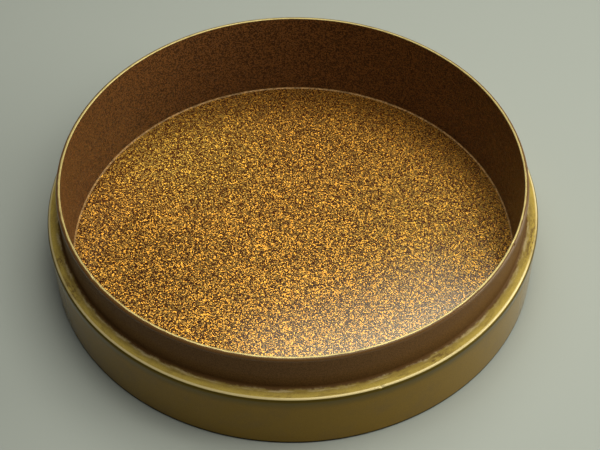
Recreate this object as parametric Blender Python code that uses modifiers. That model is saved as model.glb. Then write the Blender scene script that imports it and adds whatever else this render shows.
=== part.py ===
"""Incense box: the lower half of a round, turned and lacquered wooden box, standing open.

One piece, turned from one block: a low round body, hollowed out to a flat floor, with a flat
ledge around its top. Inside the ledge stands a thin lip, which a cover would slide over.
Metres, +Z up. The origin is the middle of the underside, on the surface the box stands on.
"""
import math

import bmesh
import bpy
from mathutils import Vector

# Bowl
BOWL_RADIUS = 0.03373
FLOOR_THICKNESS = 0.0013
FLOOR_FILLET = 0.0005

# Body, from the underside up to the ledge
BODY_HEIGHT = 0.01033
LEDGE_WIDTH = 0.00204
LEDGE_ROUND = 0.00065
FOOT_ROUND = 0.0003

# Lip, standing on the ledge's inner side
LIP_THICKNESS = 0.00065
LIP_HEIGHT = 0.0062
LIP_ROUND = 0.00028
LIP_FILLET = 0.0004

# A rounded edge may take this share of the wall that it is on
LARGEST_ROUND = 0.45

# Sides around the axis, and the steps of each quarter turn of a rounded corner
SIDES = 96
ARC_STEPS = 4
MERGE_DISTANCE = 0.00001

# Gold lacquer over brown
LACQUER_COLOUR = (0.27, 0.17, 0.05, 1.0)
LACQUER_ROUGHNESS = 0.25
LACQUER_METALLIC = 0.4
LACQUER_COAT = 0.6


def clear_scene():
    """Remove every object that the file starts with."""
    for item in list(bpy.data.objects):
        bpy.data.objects.remove(item, do_unlink=True)


def make_collection(name):
    """Add a collection under the scene's own."""
    collection = bpy.data.collections.new(name)
    bpy.context.scene.collection.children.link(collection)
    return collection


def make_lacquer():
    """Glossy gold-brown lacquer."""
    material = bpy.data.materials.new("gold_lacquer")
    material.use_nodes = True
    shader = material.node_tree.nodes["Principled BSDF"]
    shader.inputs["Base Color"].default_value = LACQUER_COLOUR
    shader.inputs["Roughness"].default_value = LACQUER_ROUGHNESS
    shader.inputs["Metallic"].default_value = LACQUER_METALLIC
    shader.inputs["Coat Weight"].default_value = LACQUER_COAT
    material.diffuse_color = LACQUER_COLOUR
    return material


def rounded_corner(before, corner, after, radius):
    """Points of the arc that rounds a corner between the straight runs to its two neighbours."""
    to_before = (before - corner).normalized()
    to_after = (after - corner).normalized()
    half_angle = to_before.angle(to_after) / 2
    setback = radius / math.tan(half_angle)
    middle = (to_before + to_after).normalized()
    centre = corner + middle * (radius / math.sin(half_angle))
    start = corner + to_before * setback - centre
    end = corner + to_after * setback - centre
    turns = [step / ARC_STEPS for step in range(ARC_STEPS + 1)]
    return [centre + start.slerp(end, turn) * radius for turn in turns]


def box_profile():
    """The section of the turned wood: from the floor's middle, over the lip, down to the foot."""
    lip_radius = BOWL_RADIUS + LIP_THICKNESS
    body_radius = lip_radius + LEDGE_WIDTH
    lip_top = BODY_HEIGHT + LIP_HEIGHT
    lip_round = min(LIP_ROUND, LARGEST_ROUND * LIP_THICKNESS)
    lip_fillet = min(LIP_FILLET, LARGEST_ROUND * LEDGE_WIDTH)
    ledge_round = min(LEDGE_ROUND, LARGEST_ROUND * LEDGE_WIDTH)
    outline = [
        (0, FLOOR_THICKNESS),
        (BOWL_RADIUS, FLOOR_THICKNESS),
        (BOWL_RADIUS, lip_top),
        (lip_radius, lip_top),
        (lip_radius, BODY_HEIGHT),
        (body_radius, BODY_HEIGHT),
        (body_radius, 0),
        (0, 0),
    ]
    rounds = [FLOOR_FILLET, lip_round, lip_round, lip_fillet, ledge_round, FOOT_ROUND]
    run = [Vector((radius, 0, height)) for radius, height in outline]
    points = [run[0]]
    for before, corner, after, radius in zip(run, run[1:], run[2:], rounds):
        points += rounded_corner(before, corner, after, radius)
    points.append(run[-1])
    return points


def profile_mesh(name, points):
    """A mesh of one open line through the points."""
    shape = bmesh.new()
    vertices = [shape.verts.new(point) for point in points]
    for first, second in zip(vertices, vertices[1:]):
        shape.edges.new((first, second))
    mesh = bpy.data.meshes.new(name)
    shape.to_mesh(mesh)
    shape.free()
    return mesh


def turn(item):
    """Turn a profile around the upright axis, as on a lathe."""
    screw = item.modifiers.new("turning", 'SCREW')
    screw.axis = 'Z'
    screw.angle = math.tau
    screw.steps = SIDES
    screw.render_steps = SIDES
    screw.use_merge_vertices = True
    screw.merge_threshold = MERGE_DISTANCE
    screw.use_smooth_shade = True
    weighted = item.modifiers.new("flat_runs_stay_flat", 'WEIGHTED_NORMAL')
    weighted.keep_sharp = True


def make_box_base(collection):
    """The turned lower half of the box."""
    item = bpy.data.objects.new("box_base", profile_mesh("box_base", box_profile()))
    item.data.materials.append(make_lacquer())
    collection.objects.link(item)
    turn(item)
    return item


def main():
    clear_scene()
    make_box_base(make_collection("incense_box"))


main()
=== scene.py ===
import math
import random
from collections import namedtuple

import bmesh
import bpy
from bpy.props import FloatProperty, FloatVectorProperty, IntProperty, PointerProperty
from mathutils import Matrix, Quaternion, Vector


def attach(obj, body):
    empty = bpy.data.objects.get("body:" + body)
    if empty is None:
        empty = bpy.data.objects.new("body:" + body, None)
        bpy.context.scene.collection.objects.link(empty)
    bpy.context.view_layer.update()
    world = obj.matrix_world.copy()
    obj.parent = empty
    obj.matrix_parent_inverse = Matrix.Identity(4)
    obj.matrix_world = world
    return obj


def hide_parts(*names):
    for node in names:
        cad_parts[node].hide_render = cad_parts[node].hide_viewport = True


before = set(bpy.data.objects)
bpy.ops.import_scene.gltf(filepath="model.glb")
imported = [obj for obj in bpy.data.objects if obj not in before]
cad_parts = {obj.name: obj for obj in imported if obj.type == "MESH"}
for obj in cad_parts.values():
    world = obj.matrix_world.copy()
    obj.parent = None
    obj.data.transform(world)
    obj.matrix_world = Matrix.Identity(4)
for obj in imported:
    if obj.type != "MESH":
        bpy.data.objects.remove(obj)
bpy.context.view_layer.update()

bl_info = {
    "name": "Lacquered Incense Box",
    "version": (1, 0, 0),
    "blender": (4, 5, 0),
    "location": "3D View > Sidebar > Incense Box",
    "description": "Turns and lacquers the lower half of a round incense box, and sets a small stage",
    "category": "Add Mesh",
}

MILLIMETRE = 0.001


def length(name, description, millimetres):
    """A size that a user may change, given in millimetres and kept in metres."""
    return FloatProperty(
        name=name, description=description, default=millimetres * MILLIMETRE,
        min=0.0, precision=5, subtype='DISTANCE', unit='LENGTH')


def colour(name, description, red, green, blue):
    """A colour that a user may change."""
    return FloatVectorProperty(
        name=name, description=description, default=(red, green, blue),
        min=0.0, max=1.0, size=3, subtype='COLOR')


class IncenseBoxSizes(bpy.types.PropertyGroup):
    """Sizes of the turned wood and of the marks on it."""
    bowl_radius: length("Bowl radius", "Inside of the bowl", 33.73)
    floor_thickness: length("Floor thickness", "Underside to the bowl's floor", 1.3)
    floor_fillet: length("Floor fillet", "Hollow corner between floor and wall", 0.2)
    body_height: length("Body height", "Underside to ledge", 10.33)
    ledge_width: length("Ledge width", "Ledge outside the lip", 2.04)
    ledge_round: length("Ledge edge", "Rounding of the ledge's outer edge", 0.65)
    foot_round: length("Foot edge", "Rounding of the foot", 0.3)
    lip_thickness: length("Lip thickness", "Wall of the standing lip", 0.65)
    lip_height: length("Lip height", "Ledge to the top of the lip", 6.2)
    lip_inner_round: length("Lip inner edge", "Rounding of the lip's inner edge", 0.1)
    lip_outer_round: length("Lip outer edge", "Rounding of the lip's outer edge", 0.48)
    lip_fillet: length("Lip fillet", "Hollow corner between lip and ledge", 0.4)
    hand_wobble: length("Hand wobble", "How far the hand-rubbed surface strays inwards", 0.03)
    sides: IntProperty(name="Sides", description="Steps around the box", default=480, min=48)


class IncenseBoxColours(bpy.types.PropertyGroup):
    """Colours of the lacquers."""
    gold_dust: colour("Gold dust", "Rubbed gold dust of the ledge", 0.50, 0.358, 0.085)
    thin_dust: colour("Thin dust", "The same dust, thinner towards the lip", 0.34, 0.236, 0.058)
    wall_gold: colour("Wall gold", "Thinner gold dust of the outer wall", 0.27, 0.155, 0.012)
    # Edge gold: burnished gold, painted lighter as a highlight where the lights catch the ledge's edge
    edge_gold_and_highlight: colour("Edge gold", "Gold burnished by handling, on the ledge's edge", 0.80, 0.65, 0.36)
    under_gold: colour("Under gold", "Dulled gold under the ledge's edge", 0.13, 0.085, 0.012)
    rim_gold: colour("Rim gold", "Gold line on top of the lip", 0.68, 0.54, 0.24)
    worn_gold: colour("Worn gold", "Gold dust rubbed thin over brown", 0.19, 0.115, 0.037)
    tan_fringe: colour("Tan fringe", "Ragged edge where gold dust meets brown", 0.54, 0.42, 0.24)
    brown: colour("Brown lacquer", "Bare lacquer outside the lip", 0.145, 0.069, 0.023)
    amber_ground: colour("Amber ground", "Dark ground under the floor's flakes", 0.055, 0.012, 0.0005)
    deep_flake: colour("Deep flake", "Flakes deep in the floor's amber", 0.20, 0.050, 0.003)
    gold_flake: colour("Gold flake", "Flakes near the floor's surface", 1.0, 0.44, 0.048)
    pale_flake: colour("Pale flake", "The floor's brightest flakes", 1.0, 0.63, 0.165)
    wall_ground: colour("Wall ground", "Red-brown ground of the bowl's wall", 0.058, 0.023, 0.009)
    wall_flake: colour("Wall flake", "Flakes sunk deep in the bowl's wall", 0.185, 0.073, 0.022)
    # Corner tan: a painted highlight on the hollow corner around the floor
    corner_highlight_tan: colour("Corner tan", "Tan line in the corner around the floor", 0.42, 0.235, 0.095)


class IncenseBoxStage(bpy.types.PropertyGroup):
    """The floor, the lights and the camera."""
    floor_colour: colour("Floor", "Pale grey-green floor", 0.40, 0.425, 0.44)
    top_power: FloatProperty(
        name="Top panel power", description="Soft panel above the box, in watts",
        default=0.5525, min=0.0, unit='POWER')
    inner_power: FloatProperty(
        name="Inner panel power", description="Brighter strip of the top panel, in watts",
        default=0.0909, min=0.0, unit='POWER')
    side_power: FloatProperty(
        name="Side panel power", description="Wide soft panel on the right, in watts",
        default=1.95, min=0.0, unit='POWER')
    room_light: FloatProperty(
        name="Room light", description="Dim light from all around", default=0.03, min=0.0)
    lens: FloatProperty(
        name="Lens", description="Focal length in millimetres", default=82.41, min=1.0, unit='CAMERA')
    camera_distance: length("Camera distance", "Camera to the middle of the underside", 212.58)
    camera_height: FloatProperty(
        name="Camera height", description="Angle of the camera above the floor",
        default=math.radians(49.17), subtype='ANGLE', unit='ROTATION')


# The section of the turned wood

ARC_STEPS = 10
# Steps along each straight run. A rounded corner follows each run but the last.
RUN_STEPS = {
    "underside": 24,
    "gold_wall": 18,
    "gold_ledge": 14,
    "brown_lip": 12,
    "gold_edge": 2,
    "flake_wall": 18,
    "flake_floor": 24,
}
RUNS = tuple(RUN_STEPS)
Corner = namedtuple("Corner", "radius height rounding finish")


def straight_run(start, end, steps):
    """Points from start up to end, closer together towards both ends, without the last one."""
    eases = [0.5 - 0.5 * math.cos(math.pi * step / steps) for step in range(steps)]
    return [start.lerp(end, ease) for ease in eases]


def rounded_corner(before, corner, after, radius):
    """Points of the arc that rounds a corner between the straight runs to its two neighbours."""
    to_before = (before - corner).normalized()
    to_after = (after - corner).normalized()
    half_angle = to_before.angle(to_after) / 2
    middle = (to_before + to_after).normalized()
    centre = corner + middle * (radius / math.sin(half_angle))
    setback = radius / math.tan(half_angle)
    start = corner + to_before * setback - centre
    end = corner + to_after * setback - centre
    turns = [step / ARC_STEPS for step in range(ARC_STEPS + 1)]
    return [centre + start.slerp(end, turn) * radius for turn in turns]


def box_section(sizes):
    """Points of the section and the finish that follows each, from the underside's middle
    out and up the wall, over the lip, and down to the floor's middle."""
    lip_radius = sizes.bowl_radius + sizes.lip_thickness
    body_radius = lip_radius + sizes.ledge_width
    lip_top = sizes.body_height + sizes.lip_height
    corners = [
        Corner(body_radius, 0.0, sizes.foot_round, "gold_wall"),
        Corner(body_radius, sizes.body_height, sizes.ledge_round, "gold_ledge"),
        Corner(lip_radius, sizes.body_height, sizes.lip_fillet, "gold_ledge"),
        Corner(lip_radius, lip_top, sizes.lip_outer_round, "gold_edge"),
        Corner(sizes.bowl_radius, lip_top, sizes.lip_inner_round, "gold_edge"),
        Corner(sizes.bowl_radius, sizes.floor_thickness, sizes.floor_fillet, "floor_corner"),
    ]
    places = [Vector((0.0, 0.0))]
    places += [Vector((corner.radius, corner.height)) for corner in corners]
    places.append(Vector((0.0, sizes.floor_thickness)))
    section = []
    last = places[0]
    for number, corner in enumerate(corners):
        run = RUNS[number]
        arc = rounded_corner(*places[number:number + 3], corner.rounding)
        section += [(point, run) for point in straight_run(last, arc[0], RUN_STEPS[run])]
        section += [(point, corner.finish) for point in arc[:-1]]
        last = arc[-1]
    run = RUNS[-1]
    section += [(point, run) for point in straight_run(last, places[-1], RUN_STEPS[run])]
    section.append((places[-1], run))
    return section


# Nicks: radius, height, half width and depth in millimetres, and which way they are pushed
NICKS = (
    # Worn spot on the lip
    {"angle": math.radians(-143.5), "radius": 34.03, "height": 16.53,
     "half_width": 0.55, "depth": 0.14, "push": (0.0, -1.0)},
    # Notch in the lip
    {"angle": math.radians(-26.1), "radius": 34.03, "height": 16.53,
     "half_width": 0.38, "depth": 0.26, "push": (0.0, -1.0)},
    # Dent in the ledge's edge
    {"angle": math.radians(-71.6), "radius": 36.2, "height": 10.23,
     "half_width": 0.45, "depth": 0.12, "push": (-1.0, -0.6)},
)
# A nick falls off like a bell, and is cut off this many half widths from its middle
NICK_FALL = 2.5
NICK_END = 1.5
# Its depth varies by this share, in waves of this many radians a millimetre
NICK_RAGGED = 0.3
RAGGED_ALONG = 23
RAGGED_ACROSS = 17
# Each nick has finer steps around the box, for this many half widths on either side
NICK_STEPS = 12
FINE_REACH = 2
# Two angles closer than a side divided by this count as one
CLOSEST_SPLIT = 20
# A point of the section nearer the axis than this lies on it
AXIS_REACH = 0.001 * MILLIMETRE

# Hand rubbing: how often each slow wave goes round, and the seeds for where the waves start
WAVE_COUNTS = (2, 3, 5, 9, 14)
SIDE_SEED = 3
LIP_SEED = 8
# The height strays most at the top of the lip, and hardly at all lower down
HEIGHT_POWER = 4


def turning_angles(sides):
    """Angles around the box: even steps, and finer ones at each nick."""
    step = math.tau / sides
    angles = [step * number for number in range(sides)]
    for nick in NICKS:
        reach = FINE_REACH * nick["half_width"] / nick["radius"]
        angles += [(nick["angle"] + reach * part / NICK_STEPS) % math.tau
                   for part in range(-NICK_STEPS, NICK_STEPS + 1)]
    kept = []
    for angle in sorted(angles):
        if not kept or angle - kept[-1] > step / CLOSEST_SPLIT:
            kept.append(angle)
    return kept


def nick_push(radius, height, angle):
    """How far the nicks move a point, outwards and upwards, in metres."""
    move = Vector((0.0, 0.0))
    for nick in NICKS:
        turn = (angle - nick["angle"] + math.pi) % math.tau - math.pi
        along = turn * nick["radius"]
        across = math.hypot(radius / MILLIMETRE - nick["radius"], height / MILLIMETRE - nick["height"])
        away = math.hypot(along, across) / nick["half_width"]
        if away < NICK_END:
            ragged = 1 + NICK_RAGGED * math.sin(along * RAGGED_ALONG + across * RAGGED_ACROSS)
            share = math.exp(-NICK_FALL * away * away) * ragged
            move += Vector(nick["push"]) * (share * nick["depth"] * MILLIMETRE)
    return move


def wobble_waves(seed):
    """Slow waves around the box, as rubbing by hand leaves them."""
    dice = random.Random(seed)
    return [(count, dice.uniform(0, math.tau)) for count in WAVE_COUNTS]


def wobble(waves, angle):
    """Between 0 and 1: how far the hand-rubbed surface strays at this angle."""
    total = sum(math.cos(count * angle + phase) for count, phase in waves)
    return 0.5 + 0.5 * total / len(waves)


def turned_point(sizes, point, angle, side_waves, lip_waves):
    """A point of the section, turned to an angle and moved by nicks and by rubbing."""
    radius, height = point
    move = nick_push(radius, height, angle)
    share = height / (sizes.body_height + sizes.lip_height)
    out = radius - sizes.hand_wobble * wobble(side_waves, angle) + move.x
    up = height - sizes.hand_wobble * share ** HEIGHT_POWER * wobble(lip_waves, angle) + move.y
    return out * math.cos(angle), out * math.sin(angle), up


def make_rings(shape, section, sizes):
    """A ring of points for each point of the section, or one point where it lies on the axis."""
    angles = turning_angles(sizes.sides)
    side_waves = wobble_waves(SIDE_SEED)
    lip_waves = wobble_waves(LIP_SEED)
    rings = []
    for point, _ in section:
        if point.x < AXIS_REACH:
            places = [(0.0, 0.0, point.y)]
        else:
            places = [turned_point(sizes, point, angle, side_waves, lip_waves) for angle in angles]
        rings.append([shape.verts.new(place) for place in places])
    return rings


def faces_between(ring, after):
    """Corners of each face between two rings, either of which may be a single point."""
    count = max(len(ring), len(after))
    for number in range(count):
        following = (number + 1) % count
        if len(ring) == 1:
            yield ring[0], after[following], after[number]
        elif len(after) == 1:
            yield ring[number], ring[following], after[0]
        else:
            yield ring[number], ring[following], after[following], after[number]


def turn_box(sizes, materials):
    """The closed mesh of the box, turned from its section."""
    section = box_section(sizes)
    shape = bmesh.new()
    rings = make_rings(shape, section, sizes)
    slots = {material.name: number for number, material in enumerate(materials)}
    for ring, after, (_, finish) in zip(rings, rings[1:], section):
        for corners in faces_between(ring, after):
            face = shape.faces.new(corners)
            face.material_index = slots[finish]
            face.smooth = True
    mesh = bpy.data.meshes.new("box_base_lacquered")
    shape.to_mesh(mesh)
    shape.free()
    for material in materials:
        mesh.materials.append(material)
    return mesh


# Finishes

# Radius in millimetres at which streaks have the length that is asked for
STREAK_RADIUS = 35


class Finish:
    """A material's nodes, with short ways to add, set and join them."""

    def __init__(self, name):
        self.material = bpy.data.materials.new(name)
        self.material.use_nodes = True
        self.tree = self.material.node_tree
        self.shader = self.tree.nodes["Principled BSDF"]
        self.place = self.node('ShaderNodeTexCoord').outputs["Object"]

    def node(self, kind, inputs=None, **settings):
        """Add a node; inputs are numbers, colours or other nodes' outputs."""
        node = self.tree.nodes.new(kind)
        for key, value in settings.items():
            setattr(node, key, value)
        for key, value in (inputs or {}).items():
            self.set(node.inputs[key], value)
        return node

    def set(self, socket, value):
        """Put a value on a socket, or join an output to it. Colours come without an alpha."""
        if isinstance(value, bpy.types.NodeSocket):
            self.tree.links.new(value, socket)
        elif socket.type == 'RGBA':
            socket.default_value = (*value, 1.0)
        else:
            socket.default_value = value

    def finish(self, **values):
        """Set the shader's own sockets; underscores in names stand for spaces."""
        for key, value in values.items():
            self.set(self.shader.inputs[key.replace("_", " ")], value)

    def maths(self, operation, first, second=0.0, third=0.0):
        """One sum on numbers."""
        sockets = {0: first, 1: second, 2: third}
        return self.node('ShaderNodeMath', sockets, operation=operation).outputs[0]

    def vectors(self, operation, first, second=(0.0, 0.0, 0.0)):
        """One sum on vectors. A length or a distance is a number."""
        node = self.node('ShaderNodeVectorMath', {0: first, 1: second}, operation=operation)
        return node.outputs["Value" if operation in {'LENGTH', 'DISTANCE'} else "Vector"]

    def scaled(self, value, amount):
        """A colour made lighter or darker, or a vector made longer or shorter."""
        sockets = {0: value, "Scale": amount}
        return self.node('ShaderNodeVectorMath', sockets, operation='SCALE').outputs[0]

    def blend(self, share, first, second):
        """Mix two colours. The sockets in between mix numbers and vectors."""
        sockets = {0: share, 6: first, 7: second}
        return self.node('ShaderNodeMix', sockets, data_type='RGBA').outputs[2]

    def step(self, value, low, high, out_low=0.0, out_high=1.0):
        """A soft step from out_low to out_high as value goes from low to high."""
        sockets = {
            "Value": value, "From Min": low, "From Max": high, "To Min": out_low, "To Max": out_high}
        return self.node('ShaderNodeMapRange', sockets, interpolation_type='SMOOTHSTEP').outputs[0]

    def between(self, share, first, second):
        """A number that goes softly from first to second as the share goes from nought to one."""
        return self.step(share, 0.0, 1.0, first, second)

    def band(self, value, low, high, soft):
        """One between low and high, fading to nought over a soft width at either end."""
        rising = self.step(value, low - soft / 2, low + soft / 2)
        falling = self.step(value, high - soft / 2, high + soft / 2, 1.0, 0.0)
        return self.maths('MULTIPLY', rising, falling)

    def noise(self, place, scale, detail, roughness):
        """Soft noise."""
        sockets = {"Vector": place, "Scale": scale, "Detail": detail, "Roughness": roughness}
        return self.node('ShaderNodeTexNoise', sockets).outputs[0]

    def grain(self, size, detail, roughness):
        """Soft noise whose blots are about this many millimetres wide."""
        return self.noise(self.place, 1 / (size * MILLIMETRE), detail, roughness)

    def streaks(self, along, across, detail, roughness, shift=0.0):
        """Soft noise drawn out around the box: blots this many millimetres long and wide. A shift
        gives other blots of the same kind."""
        around = self.vectors('NORMALIZE', self.flat())
        outwards = self.maths('MULTIPLY_ADD', self.radius(), 1 / (across * MILLIMETRE), shift)
        rings = self.node('ShaderNodeCombineXYZ', {2: outwards}).outputs[0]
        place = self.vectors('ADD', self.scaled(around, STREAK_RADIUS / along), rings)
        return self.noise(place, 1.0, detail, roughness)

    def ragged(self, value, noise, low, high, stray):
        """A distance that noise from low to high moves by this many millimetres either way."""
        moved = self.step(noise, low, high, -stray * MILLIMETRE, stray * MILLIMETRE)
        return self.maths('ADD', value, moved)

    def near(self, angle, radius, reach):
        """One at this angle and radius, fading to nought this many millimetres from there."""
        spot = (radius * math.cos(angle) * MILLIMETRE, radius * math.sin(angle) * MILLIMETRE, 0.0)
        away = self.vectors('DISTANCE', self.flat(), spot)
        return self.step(away, 0.0, reach * MILLIMETRE, 1.0, 0.0)

    def height(self):
        """Height above the underside, in metres."""
        return self.node('ShaderNodeSeparateXYZ', {0: self.place}).outputs["Z"]

    def flat(self):
        """The place on the box without its height."""
        return self.vectors('MULTIPLY', self.place, (1.0, 1.0, 0.0))

    def radius(self):
        """Distance from the box's axis, in metres."""
        return self.vectors('LENGTH', self.flat())


# Flakes: how softly an outline fades, as a share of the distance between flakes, and how far a
# flake leans
FLAKE_SOFTNESS = 0.07
FLAKE_LEAN = 0.4
# The lower flakes lie closer together than the upper ones, and elsewhere
LOWER_SPACING = 0.8
LOWER_SHIFT = (0.13, 0.07, 0.05)
# Painted light and shade on the bowl's floor: places painted brighter or darker than the rest, with
# their size in millimetres
FLOOR_PAINTED_LIGHT = (
    {"angle": math.radians(137), "radius": 29.0, "reach": 24.0, "brighter": 0.28},
    {"angle": math.radians(5), "radius": 22.0, "reach": 22.0, "brighter": 0.14},
    {"angle": math.radians(-140), "radius": 20.0, "reach": 20.0, "brighter": -0.14},
    {"angle": math.radians(-178), "radius": 27.0, "reach": 22.0, "brighter": -0.16},
)


def flakes(finish, spacing, smallest, largest, shift):
    """Metal flakes this many millimetres apart, whose reach is a share of that distance: where
    they are, a tone for each, and a random colour for each."""
    moved = finish.vectors('ADD', finish.place, shift)
    cells = finish.node('ShaderNodeTexVoronoi', {"Vector": moved, "Scale": 1 / (spacing * MILLIMETRE)})
    parts = finish.node('ShaderNodeSeparateColor', {0: cells.outputs["Color"]})
    reach = finish.between(parts.outputs[0], smallest, largest)
    inner = finish.maths('SUBTRACT', reach, FLAKE_SOFTNESS)
    outer = finish.maths('ADD', reach, FLAKE_SOFTNESS)
    there = finish.step(cells.outputs["Distance"], inner, outer, 1.0, 0.0)
    return there, parts.outputs[1], cells.outputs["Color"]


def leaning_normal(finish, lean):
    """Each flake lies a little askew in the lacquer, by a random colour taken as a direction."""
    centred = finish.vectors('SUBTRACT', lean, (0.5, 0.5, 0.5))
    normal = finish.node('ShaderNodeNewGeometry').outputs["Normal"]
    leaned = finish.vectors('ADD', normal, finish.scaled(centred, FLAKE_LEAN))
    return finish.vectors('NORMALIZE', leaned)


def flaked_lacquer(name, tones, spacing, smallest, largest, metal, gloss, painted_light=()):
    """Gold flakes strewn at two depths in amber lacquer, under a clear coat."""
    ground, deep_flake, gold_flake, pale_flake = tones
    finish = Finish(name)
    upper, upper_tone, lean = flakes(finish, spacing, smallest, largest, (0.0, 0.0, 0.0))
    lower, lower_tone, _ = flakes(finish, spacing * LOWER_SPACING, smallest, largest, LOWER_SHIFT)
    under = finish.blend(lower, ground, finish.blend(lower_tone, ground, deep_flake))
    bright = finish.blend(upper_tone, gold_flake, pale_flake)
    sunk = finish.maths('MULTIPLY', lower, metal / 2)
    painted_level = 1.0
    # Painted light and shade: broad patches of the colour made brighter or darker
    for patch in painted_light:
        spot = finish.near(patch["angle"], patch["radius"], patch["reach"])
        painted_level = finish.maths('MULTIPLY_ADD', spot, patch["brighter"], painted_level)
    finish.finish(
        Base_Color=finish.scaled(finish.blend(upper, under, bright), painted_level),
        Metallic=finish.maths('MAXIMUM', finish.maths('MULTIPLY', upper, metal), sunk),
        Roughness=0.4,
        Specular_IOR_Level=0.15,
        Normal=leaning_normal(finish, lean),
        Coat_Weight=gloss,
        Coat_IOR=1.7,
        Coat_Roughness=0.12,
    )
    return finish.material


# Gold dust: size of its grain in millimetres, and how dark and light the grain makes it
DUST_GRAIN = 0.09
DUST_DARK = 0.86
DUST_LIGHT = 1.1


def dusted(finish, gold, worn_gold, wear, stain):
    """Gold dust with a fine grain, thinner where the stain is high."""
    thin = finish.maths('MULTIPLY', finish.step(stain, 0.45, 0.75), wear)
    grain = finish.grain(DUST_GRAIN, detail=2.0, roughness=0.6)
    speckled = finish.step(grain, 0.35, 0.65, DUST_DARK, DUST_LIGHT)
    return finish.scaled(finish.blend(thin, gold, worn_gold), speckled)


# The outer wall: how far below the turn of its top edge the gold is dulled, and the painted
# contact shadow along the foot, both in metres, and how much light is left in that shadow
DULLED_DEPTH = 1.7 * MILLIMETRE
FOOT_SHADOW_DARK = 0.3 * MILLIMETRE
FOOT_SHADOW_ENDS = 0.6 * MILLIMETRE
FOOT_SHADOW_LIGHT = 0.04


def wall_lacquer(name, colours, sizes):
    """The outer wall: thin gold dust under a clear coat, dulled by handling just below the ledge,
    and darkened along the foot by a painted contact shadow, with little coat there."""
    finish = Finish(name)
    top = sizes.body_height - sizes.ledge_round
    unevenness = finish.grain(1.2, detail=3.0, roughness=0.6)
    height = finish.ragged(finish.height(), unevenness, 0.3, 0.7, stray=0.1)
    dulled = finish.step(height, top - DULLED_DEPTH, top)
    stain = finish.grain(5.0, detail=4.0, roughness=0.65)
    gold = dusted(finish, colours.wall_gold, colours.worn_gold, wear=0.35, stain=stain)
    # Painted contact shadow: the colour and the coat fade to dark along the foot
    foot = finish.step(finish.height(), FOOT_SHADOW_DARK, FOOT_SHADOW_ENDS, FOOT_SHADOW_LIGHT, 1.0)
    finish.finish(
        Base_Color=finish.scaled(finish.blend(dulled, gold, colours.under_gold), foot),
        Metallic=finish.between(dulled, 0.5, 0.85),
        Roughness=finish.between(dulled, 0.6, 0.4),
        Specular_IOR_Level=0.05,
        Coat_Weight=foot,
        Coat_IOR=1.2,
        Coat_Roughness=0.15,
    )
    return finish.material


# Across the ledge, in metres outwards from the lip: where dust starts to cover the brown and
# covers it, and where the fringe starts to give way to gold and has given way
DUST_STARTS = 0.15 * MILLIMETRE
DUST_COVERS = 0.6 * MILLIMETRE
GOLD_STARTS = 0.5 * MILLIMETRE
GOLD_COVERS = 0.9 * MILLIMETRE
# Over the turn of its outer edge, in metres outwards from the end of the flat
FLAT_MARGIN = 0.1 * MILLIMETRE
# The burnished band is also a painted highlight: a lighter gold where the lights catch the turn
BURNISH_HIGHLIGHT_FROM = 0.2 * MILLIMETRE
BURNISH_HIGHLIGHT_TO = 0.45 * MILLIMETRE
BURNISH_HIGHLIGHT_SOFTNESS = 0.12 * MILLIMETRE
DULLED_FROM = 0.41 * MILLIMETRE
DULLED_TO = 0.51 * MILLIMETRE
# How dark the brown is where it creeps out on the ledge: painted shade in the corner at the lip's foot
CORNER_SHADE = 0.8
# Places where the ledge's gold dust is worn, how far the wear reaches in millimetres, and how
# much of the burnished edge and its painted highlight it takes
WORN_PLACES = (
    {"angle": math.radians(-151.5), "radius": 35.5, "reach": 4.5, "edge_wear": 0.6},
    {"angle": math.radians(-161), "radius": 35.1, "reach": 3.0, "edge_wear": 0.2},
    {"angle": math.radians(-57), "radius": 34.9, "reach": 4.5, "edge_wear": 0.0},
    {"angle": math.radians(-15), "radius": 35.7, "reach": 9.0, "edge_wear": 0.8},
)


def ledge_wear(finish, flat_end):
    """How worn the ledge's dust is, and how burnished its edge, with its painted highlight."""
    worn = finish.step(finish.streaks(2.2, 0.5, detail=4.0, roughness=0.65), 0.5, 0.68, 0.0, 0.45)
    blots = finish.step(finish.streaks(1.0, 0.35, detail=4.0, roughness=0.7), 0.42, 0.6)
    burnish_and_highlight = finish.band(
        finish.radius(), flat_end + BURNISH_HIGHLIGHT_FROM, flat_end + BURNISH_HIGHLIGHT_TO, BURNISH_HIGHLIGHT_SOFTNESS)
    for place in WORN_PLACES:
        spot = finish.near(place["angle"], place["radius"], place["reach"])
        worn = finish.maths('MAXIMUM', worn, finish.maths('MULTIPLY', spot, blots))
        left_over = finish.maths('MULTIPLY_ADD', spot, -place["edge_wear"], 1.0)
        burnish_and_highlight = finish.maths('MULTIPLY', burnish_and_highlight, left_over)
    return worn, burnish_and_highlight


def ledge_flat(finish, colours, worn, lip, flat_end):
    """Colour of the ledge's flat top: brown, then a tan fringe, then gold dust."""
    radius = finish.radius()
    unevenness = finish.grain(1.6, detail=5.0, roughness=0.75)
    reach = finish.ragged(radius, unevenness, 0.25, 0.75, stray=0.18)
    dusty = finish.step(reach, lip + DUST_STARTS, lip + DUST_COVERS)
    golden = finish.step(reach, lip + GOLD_STARTS, lip + GOLD_COVERS)
    thick = finish.step(radius, lip + GOLD_STARTS, flat_end - FLAT_MARGIN)
    gold = finish.blend(thick, colours.thin_dust, colours.gold_dust)
    gold = finish.blend(worn, gold, colours.worn_gold)
    stain = finish.grain(1.6, detail=4.0, roughness=0.7)
    gold = dusted(finish, gold, colours.worn_gold, wear=0.3, stain=stain)
    patches = finish.step(finish.streaks(3.0, 0.6, detail=4.0, roughness=0.65, shift=3.7), 0.42, 0.62)
    fringe = finish.blend(patches, colours.thin_dust, colours.tan_fringe)
    fringed = finish.blend(golden, fringe, gold)
    # Painted shade: the brown that creeps out on the ledge is darkened in the corner by the lip
    return finish.blend(dusty, finish.scaled(colours.brown, CORNER_SHADE), fringed)


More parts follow.
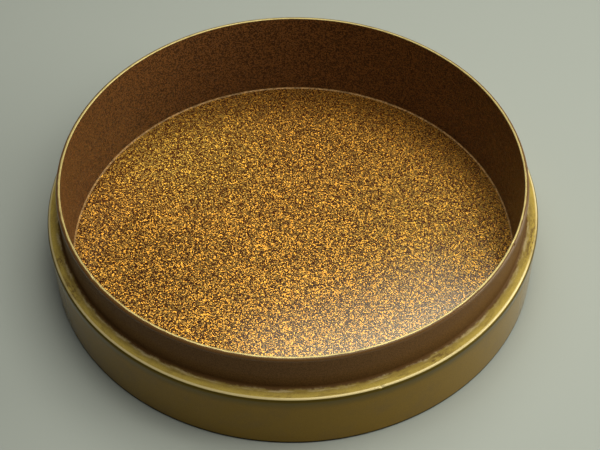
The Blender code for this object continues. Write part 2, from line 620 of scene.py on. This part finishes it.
def ledge_lacquer(name, colours, sizes):
    """The ledge: brown lacquer creeps out from the lip and ends in a tan fringe on the gold dust.
    The turn of its outer edge is burnished by handling and painted lighter as a highlight, and the
    gold is dulled below that."""
    finish = Finish(name)
    lip = sizes.bowl_radius + sizes.lip_thickness
    flat_end = lip + sizes.ledge_width - sizes.ledge_round
    worn, burnish_and_highlight = ledge_wear(finish, flat_end)
    flat_top = ledge_flat(finish, colours, worn, lip, flat_end)
    # Painted highlight: the burnished band takes the lighter edge gold
    turned = finish.blend(burnish_and_highlight, flat_top, colours.edge_gold_and_highlight)
    dulled = finish.step(finish.radius(), flat_end + DULLED_FROM, flat_end + DULLED_TO)
    sheen = finish.between(burnish_and_highlight, 0.0, 0.12)
    dullness = finish.between(burnish_and_highlight, 0.55, 0.22)
    finish.finish(
        Base_Color=finish.blend(dulled, turned, colours.under_gold),
        Metallic=finish.maths('MAXIMUM', sheen, finish.maths('MULTIPLY', dulled, 0.6)),
        Roughness=finish.maths('MINIMUM', dullness, finish.between(dulled, 0.55, 0.4)),
        Specular_IOR_Level=0.1,
    )
    return finish.material


# Painted shade at the lip's foot, in metres down and up from the top of its hollow corner
LIP_SHADE_BELOW = 0.2 * MILLIMETRE
LIP_SHADE_ABOVE = 2.5 * MILLIMETRE


def brown_lacquer(name, colours, sizes):
    """Bare brown lacquer, mottled by a fine grain, and darker at the lip's foot as painted shade in
    the hollow corner.
    """
    finish = Finish(name)
    mottled = finish.step(finish.grain(0.16, detail=2.0, roughness=0.6), 0.3, 0.7, 0.75, 1.25)
    foot = sizes.body_height + sizes.lip_fillet
    # Painted shade: the brown darkens towards the lip's foot, in the hollow corner
    lip_foot_shade = finish.step(finish.height(), foot - LIP_SHADE_BELOW, foot + LIP_SHADE_ABOVE, 0.8, 1.05)
    finish.finish(
        Base_Color=finish.scaled(colours.brown, finish.maths('MULTIPLY', mottled, lip_foot_shade)),
        Roughness=0.6,
        Specular_IOR_Level=0.05,
        Coat_Weight=0.12,
        Coat_IOR=1.4,
        Coat_Roughness=0.2,
    )
    return finish.material


# The gold line on the lip: how far it reaches over the inner edge and how soft it is, in metres,
# and how much of the lip's thickness it covers
LINE_OVER = 0.06 * MILLIMETRE
LINE_SOFTNESS = 0.06 * MILLIMETRE
LINE_SHARE = 0.38


def rim_lacquer(name, colours, sizes):
    """The top of the lip: a gold line on its inner part, bare brown outside that."""
    finish = Finish(name)
    unevenness = finish.streaks(2.0, 0.5, detail=3.0, roughness=0.6)
    reach = finish.ragged(finish.radius(), unevenness, 0.3, 0.7, stray=0.04)
    start = sizes.bowl_radius - LINE_OVER
    end = sizes.bowl_radius + LINE_SHARE * sizes.lip_thickness
    line = finish.band(reach, start, end, LINE_SOFTNESS)
    stain = finish.grain(2.0, detail=4.0, roughness=0.65)
    gold = dusted(finish, colours.rim_gold, colours.worn_gold, wear=0.3, stain=stain)
    finish.finish(
        Base_Color=finish.blend(line, colours.brown, gold),
        Metallic=finish.maths('MULTIPLY', line, 0.3),
        Roughness=0.35,
        Specular_IOR_Level=0.1,
        Coat_Weight=0.6,
        Coat_IOR=1.4,
        Coat_Roughness=0.2,
    )
    return finish.material


def corner_lacquer(name, colours):
    """The hollow corner around the bowl's floor: a thin tan line painted as a highlight, mottled."""
    finish = Finish(name)
    mottled = finish.step(finish.grain(0.4, detail=3.0, roughness=0.7), 0.35, 0.65, 0.45, 1.35)
    finish.finish(
        Base_Color=finish.scaled(colours.corner_highlight_tan, mottled),
        Roughness=0.5,
        Specular_IOR_Level=0.2,
        Coat_Weight=0.2,
        Coat_IOR=1.5,
        Coat_Roughness=0.2,
    )
    return finish.material


def box_finishes(colours, sizes):
    """One finish for each kind of surface."""
    wall_tones = (colours.wall_ground, colours.wall_ground, colours.wall_flake, colours.wall_flake)
    floor_tones = (colours.amber_ground, colours.deep_flake, colours.gold_flake, colours.pale_flake)
    return [
        flaked_lacquer(
            "underside", wall_tones,
            spacing=0.4, smallest=0.2, largest=0.6, metal=0.3, gloss=0.6),
        wall_lacquer("gold_wall", colours, sizes),
        ledge_lacquer("gold_ledge", colours, sizes),
        brown_lacquer("brown_lip", colours, sizes),
        rim_lacquer("gold_edge", colours, sizes),
        flaked_lacquer(
            "flake_wall", wall_tones,
            spacing=0.2, smallest=0.3, largest=0.75, metal=0.1, gloss=0.0),
        corner_lacquer("floor_corner", colours),
        flaked_lacquer(
            "flake_floor", floor_tones,
            spacing=0.175, smallest=0.22, largest=0.62, metal=0.92, gloss=1.0, painted_light=FLOOR_PAINTED_LIGHT),
    ]


class INCENSEBOX_OT_turn_base(bpy.types.Operator):
    """Turn and lacquer the box's lower half"""
    bl_idname = "incensebox.turn_base"
    bl_label = "Turn and Lacquer the Base"

    def execute(self, context):
        sizes = context.scene.incense_box_sizes
        colours = context.scene.incense_box_colours
        mesh = turn_box(sizes, box_finishes(colours, sizes))
        base = bpy.data.objects.new("box_base_lacquered", mesh)
        context.scene.collection.objects.link(base)
        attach(base, "root")
        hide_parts("box_base")
        return {'FINISHED'}


# Stage: places and sizes in metres

FLOOR_HALF_WIDTH = 1.5
FLOOR_ROUGHNESS = 0.85
PANEL_COLOUR = (1.0, 1.0, 0.80)
TOP_TURN = math.radians(24.6)
TOP_PANEL = {"place": (0.0542, -0.0176, 0.2283), "size": (0.203, 0.334)}
INNER_PANEL = {"place": (0.0712, 0.0505, 0.2278), "size": (0.085, 0.262)}
SIDE_PANEL = {"place": (0.515, 0.0454, 0.166), "size": (0.459, 0.30)}
ROOM_COLOUR = (1.0, 1.0, 1.0, 1.0)
# The camera aims near the middle of the underside, off it by these small angles in radians
CAMERA_PITCH = 0.0128
CAMERA_YAW = -0.0050
CAMERA_ROLL = 0.0147
# The sensor's width in millimetres, and the nearest distance that the camera sees in metres
SENSOR_WIDTH = 36.0
CLIP_START = 0.01


def make_floor(stage):
    """A plain pale floor that the box stands on."""
    mesh = bpy.data.meshes.new("floor")
    shape = bmesh.new()
    bmesh.ops.create_grid(shape, x_segments=1, y_segments=1, size=FLOOR_HALF_WIDTH)
    shape.to_mesh(mesh)
    shape.free()
    finish = Finish("pale_floor")
    finish.finish(Base_Color=stage.floor_colour, Roughness=FLOOR_ROUGHNESS)
    mesh.materials.append(finish.material)
    floor = bpy.data.objects.new("floor", mesh)
    bpy.context.scene.collection.objects.link(floor)


def make_panel(name, power, place, size, rotation):
    """A soft rectangular panel, out of sight."""
    lamp = bpy.data.lights.new(name, 'AREA')
    lamp.shape = 'RECTANGLE'
    lamp.size, lamp.size_y = size
    lamp.energy = power
    lamp.color = PANEL_COLOUR
    panel = bpy.data.objects.new(name, lamp)
    panel.location = place
    panel.rotation_euler = rotation
    panel.visible_camera = False
    bpy.context.scene.collection.objects.link(panel)


def make_panels(stage):
    """A panel with a brighter strip above the box, and a wide one on its right, turned to face it."""
    level = (0.0, 0.0, TOP_TURN)
    make_panel("top_panel", stage.top_power, TOP_PANEL["place"], TOP_PANEL["size"], level)
    make_panel("inner_panel", stage.inner_power, INNER_PANEL["place"], INNER_PANEL["size"], level)
    place = Vector(SIDE_PANEL["place"])
    facing = (-place).to_track_quat('-Z', 'Y').to_euler()
    make_panel("side_panel", stage.side_power, place, SIDE_PANEL["size"], facing)


def make_room_light(stage):
    """Dim even light from all around."""
    world = bpy.data.worlds.new("room")
    world.use_nodes = True
    background = world.node_tree.nodes["Background"]
    background.inputs["Color"].default_value = ROOM_COLOUR
    background.inputs["Strength"].default_value = stage.room_light
    bpy.context.scene.world = world


def make_camera(stage):
    """The camera at the photograph's viewing angle."""
    lens = bpy.data.cameras.new("camera")
    lens.lens = stage.lens
    lens.sensor_width = SENSOR_WIDTH
    lens.clip_start = CLIP_START
    camera = bpy.data.objects.new("camera", lens)
    height = stage.camera_height
    eye = Vector((0.0, -math.cos(height), math.sin(height))) * stage.camera_distance
    aim = (-eye).to_track_quat('-Z', 'Y')
    aim = aim @ Quaternion((0, 1, 0), CAMERA_YAW) @ Quaternion((1, 0, 0), CAMERA_PITCH)
    camera.location = eye
    camera.rotation_mode = 'QUATERNION'
    camera.rotation_quaternion = aim @ Quaternion((0, 0, -1), CAMERA_ROLL)
    bpy.context.scene.collection.objects.link(camera)
    bpy.context.scene.camera = camera


class INCENSEBOX_OT_set_stage(bpy.types.Operator):
    """Set the floor, the lights and the camera"""
    bl_idname = "incensebox.set_stage"
    bl_label = "Set the Stage"

    def execute(self, context):
        stage = context.scene.incense_box_stage
        make_floor(stage)
        make_panels(stage)
        make_room_light(stage)
        make_camera(stage)
        context.scene.view_settings.view_transform = 'Standard'
        return {'FINISHED'}


class INCENSEBOX_PT_sidebar(bpy.types.Panel):
    """Sizes, colours and stage of the incense box"""
    bl_idname = "INCENSEBOX_PT_sidebar"
    bl_label = "Incense Box"
    bl_space_type = 'VIEW_3D'
    bl_region_type = 'UI'
    bl_category = "Incense Box"

    def draw(self, context):
        layout = self.layout
        scene = context.scene
        for group in (scene.incense_box_sizes, scene.incense_box_colours, scene.incense_box_stage):
            column = layout.column(align=True)
            for name in group.bl_rna.properties.keys():
                if name not in {"rna_type", "name"}:
                    column.prop(group, name)
        layout.operator(INCENSEBOX_OT_turn_base.bl_idname)
        layout.operator(INCENSEBOX_OT_set_stage.bl_idname)


CLASSES = (
    IncenseBoxSizes,
    IncenseBoxColours,
    IncenseBoxStage,
    INCENSEBOX_OT_turn_base,
    INCENSEBOX_OT_set_stage,
    INCENSEBOX_PT_sidebar,
)


def register():
    for item in CLASSES:
        bpy.utils.register_class(item)
    bpy.types.Scene.incense_box_sizes = PointerProperty(type=IncenseBoxSizes)
    bpy.types.Scene.incense_box_colours = PointerProperty(type=IncenseBoxColours)
    bpy.types.Scene.incense_box_stage = PointerProperty(type=IncenseBoxStage)


def unregister():
    del bpy.types.Scene.incense_box_stage
    del bpy.types.Scene.incense_box_colours
    del bpy.types.Scene.incense_box_sizes
    for item in reversed(CLASSES):
        bpy.utils.unregister_class(item)


def main():
    """Make the box and its stage."""
    register()
    bpy.ops.incensebox.turn_base()
    bpy.ops.incensebox.set_stage()


if __name__ == "__main__":
    main()
